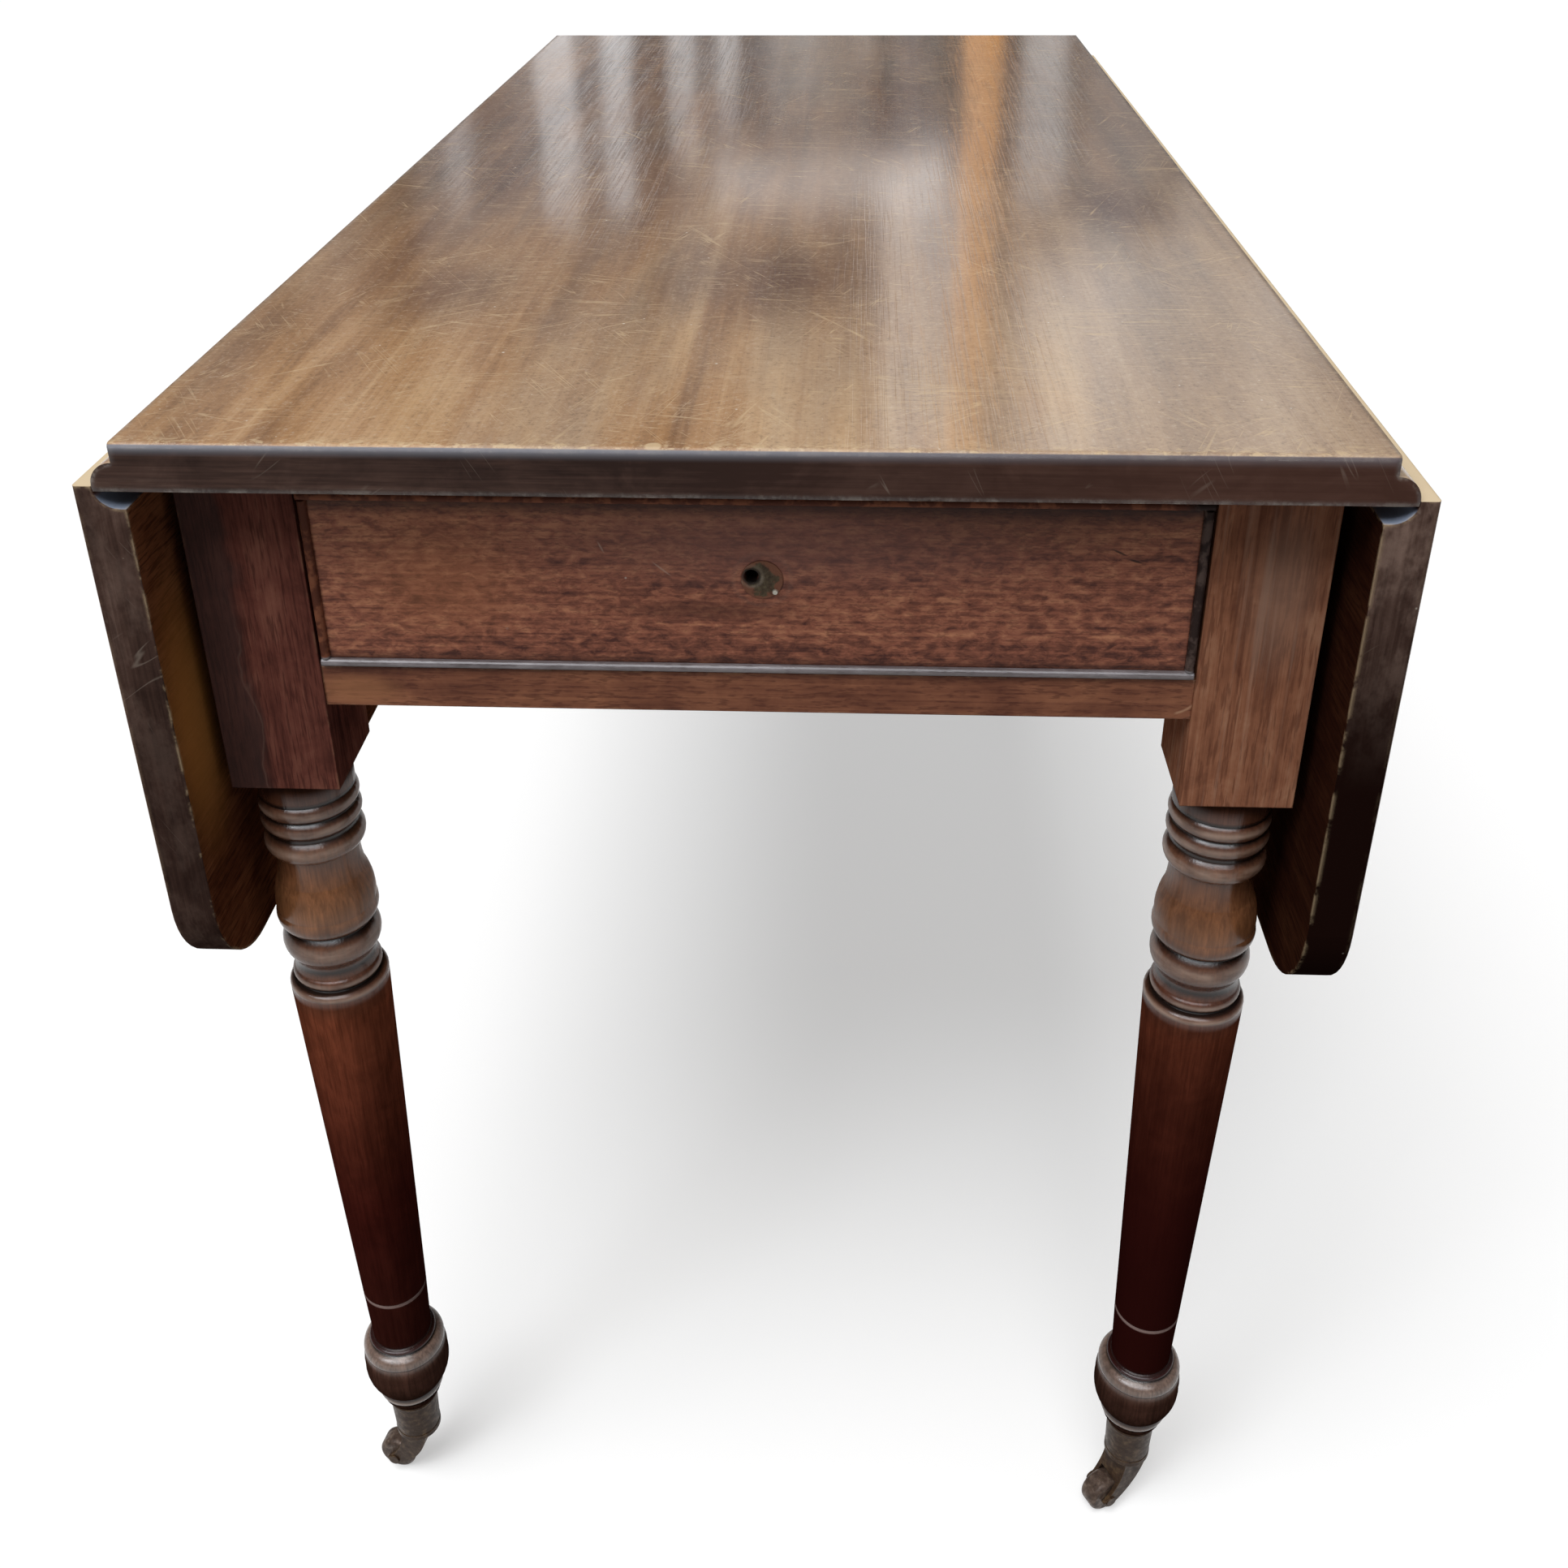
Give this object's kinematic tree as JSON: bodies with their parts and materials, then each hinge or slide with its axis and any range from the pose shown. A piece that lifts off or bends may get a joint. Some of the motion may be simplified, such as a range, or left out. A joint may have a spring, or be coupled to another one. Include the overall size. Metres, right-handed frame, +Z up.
{
  "type": "pembroke table",
  "caption": "Drop-leaf pembroke table with hanging rule-jointed leaves, an end drawer, swinging fly brackets and turned legs on brass casters.",
  "frame": {"origin": "on the floor at the middle of the table, under the centre of the top", "axes": "+Z up, +Y along the length of the top away from the drawer, +X to the right of a person facing the drawer"},
  "size_m": [0.545, 1.067, 0.72],
  "materials": {
    "mahogany_top": "old polished mahogany with fine scratches and worn edges",
    "mahogany_frame": "red-brown polished mahogany, glossy on the turnings",
    "mahogany_drawer": "reddish mahogany with dark pores and grime in the corners",
    "secondary_pine": "bare aged pine and beech, not polished",
    "aged_brass": "dark patinated brass with rubbed edges",
    "aged_steel": "dull aged steel"
  },
  "bodies": {
    "frame": {"back_rail": "mahogany_frame", "caster_socket_back_left": "aged_brass", "caster_socket_back_right": "aged_brass", "caster_socket_front_left": "aged_brass", "caster_socket_front_right": "aged_brass", "drawer_kickers": "secondary_pine", "drawer_rail": "mahogany_frame", "drawer_runner_left": "secondary_pine", "drawer_runner_right": "secondary_pine", "drawer_stops": "secondary_pine", "fly_bracket_pins": "aged_steel", "fly_rail_left": "secondary_pine", "fly_rail_right": "secondary_pine", "fly_rail_screws": "aged_steel", "glue_blocks": "secondary_pine", "hinge_pins_left": "aged_steel", "hinge_pins_right": "aged_steel", "hinge_top_flaps_left": "aged_steel", "hinge_top_flaps_right": "aged_steel", "hinge_top_screws": "aged_steel", "kicker_screws": "aged_steel", "leg_back_left": "mahogany_frame", "leg_back_right": "mahogany_frame", "leg_front_left": "mahogany_frame", "leg_front_right": "mahogany_frame", "side_rail_left": "secondary_pine", "side_rail_right": "secondary_pine", "top_board": "mahogany_top", "top_rail": "secondary_pine"},
    "left_leaf": {"leaf_left": "mahogany_top", "hinge_leaf_flaps_left": "aged_steel", "hinge_leaf_screws_left": "aged_steel"},
    "right_leaf": {"leaf_right": "mahogany_top", "hinge_leaf_flaps_right": "aged_steel", "hinge_leaf_screws_right": "aged_steel"},
    "drawer": {"drawer_front": "mahogany_drawer", "drawer_cockbead": "mahogany_drawer", "drawer_side_left": "secondary_pine", "drawer_side_right": "secondary_pine", "drawer_back": "secondary_pine", "drawer_bottom": "secondary_pine", "drawer_lock": "aged_brass", "keyhole_plate": "aged_brass"},
    "lock_bolt": {"lock_bolt": "aged_steel"},
    "bracket_front_left": {"fly_bracket_front_left": "secondary_pine"},
    "bracket_front_right": {"fly_bracket_front_right": "secondary_pine"},
    "bracket_back_left": {"fly_bracket_back_left": "secondary_pine"},
    "bracket_back_right": {"fly_bracket_back_right": "secondary_pine"},
    "caster_front_left": {"caster_horn_front_left": "aged_brass", "caster_axle_front_left": "aged_brass"},
    "wheel_front_left": {"caster_wheel_front_left": "aged_brass"},
    "caster_front_right": {"caster_horn_front_right": "aged_brass", "caster_axle_front_right": "aged_brass"},
    "wheel_front_right": {"caster_wheel_front_right": "aged_brass"},
    "caster_back_left": {"caster_horn_back_left": "aged_brass", "caster_axle_back_left": "aged_brass"},
    "wheel_back_left": {"caster_wheel_back_left": "aged_brass"},
    "caster_back_right": {"caster_horn_back_right": "aged_brass", "caster_axle_back_right": "aged_brass"},
    "wheel_back_right": {"caster_wheel_back_right": "aged_brass"}
  },
  "joints": [
    {"name": "left_leaf_hinge", "type": "hinge", "parent": "frame", "child": "left_leaf", "pos_m": [-0.254, 0, 0.7015], "axis": [0, 1, 0], "range_deg": [0, 90]},
    {"name": "right_leaf_hinge", "type": "hinge", "parent": "frame", "child": "right_leaf", "pos_m": [0.254, 0, 0.7015], "axis": [0, -1, 0], "range_deg": [0, 90]},
    {"name": "drawer_slide", "type": "slide", "parent": "frame", "child": "drawer", "axis": [0, -1, 0], "range_m": [0, 0.4]},
    {"name": "lock_bolt_slide", "type": "slide", "parent": "drawer", "child": "lock_bolt", "axis": [0, 0, 1], "range_m": [0, 0.006]},
    {"name": "bracket_front_left_hinge", "type": "hinge", "parent": "frame", "child": "bracket_front_left", "pos_m": [-0.23125, -0.21, 0.64], "axis": [0, 0, -1], "range_deg": [0, 2.5]},
    {"name": "bracket_front_right_hinge", "type": "hinge", "parent": "frame", "child": "bracket_front_right", "pos_m": [0.23125, -0.21, 0.64], "axis": [0, 0, 1], "range_deg": [0, 2.5]},
    {"name": "bracket_back_left_hinge", "type": "hinge", "parent": "frame", "child": "bracket_back_left", "pos_m": [-0.23125, 0.21, 0.64], "axis": [0, 0, 1], "range_deg": [0, 2.5]},
    {"name": "bracket_back_right_hinge", "type": "hinge", "parent": "frame", "child": "bracket_back_right", "pos_m": [0.23125, 0.21, 0.64], "axis": [0, 0, -1], "range_deg": [0, 2.5]},
    {"name": "caster_front_left_swivel", "type": "hinge", "parent": "frame", "child": "caster_front_left", "pos_m": [-0.2195, -0.478, 0.047], "axis": [0, 0, 1], "continuous": true},
    {"name": "wheel_front_left_roll", "type": "hinge", "parent": "caster_front_left", "child": "wheel_front_left", "pos_m": [-0.23515, -0.47467, 0.0115], "axis": [-0.2079, -0.9781, 0], "continuous": true},
    {"name": "caster_front_right_swivel", "type": "hinge", "parent": "frame", "child": "caster_front_right", "pos_m": [0.2195, -0.478, 0.047], "axis": [0, 0, 1], "continuous": true},
    {"name": "wheel_front_right_roll", "type": "hinge", "parent": "caster_front_right", "child": "wheel_front_right", "pos_m": [0.20564, -0.486, 0.0115], "axis": [0.5, -0.866, 0], "continuous": true},
    {"name": "caster_back_left_swivel", "type": "hinge", "parent": "frame", "child": "caster_back_left", "pos_m": [-0.2195, 0.478, 0.047], "axis": [0, 0, 1], "continuous": true},
    {"name": "wheel_back_left_roll", "type": "hinge", "parent": "caster_back_left", "child": "wheel_back_left", "pos_m": [-0.23261, 0.46882, 0.0115], "axis": [0.5736, -0.8192, 0], "continuous": true},
    {"name": "caster_back_right_swivel", "type": "hinge", "parent": "frame", "child": "caster_back_right", "pos_m": [0.2195, 0.478, 0.047], "axis": [0, 0, 1], "continuous": true},
    {"name": "wheel_back_right_roll", "type": "hinge", "parent": "caster_back_right", "child": "wheel_back_right", "pos_m": [0.20564, 0.486, 0.0115], "axis": [-0.5, -0.866, 0], "continuous": true}
  ]
}
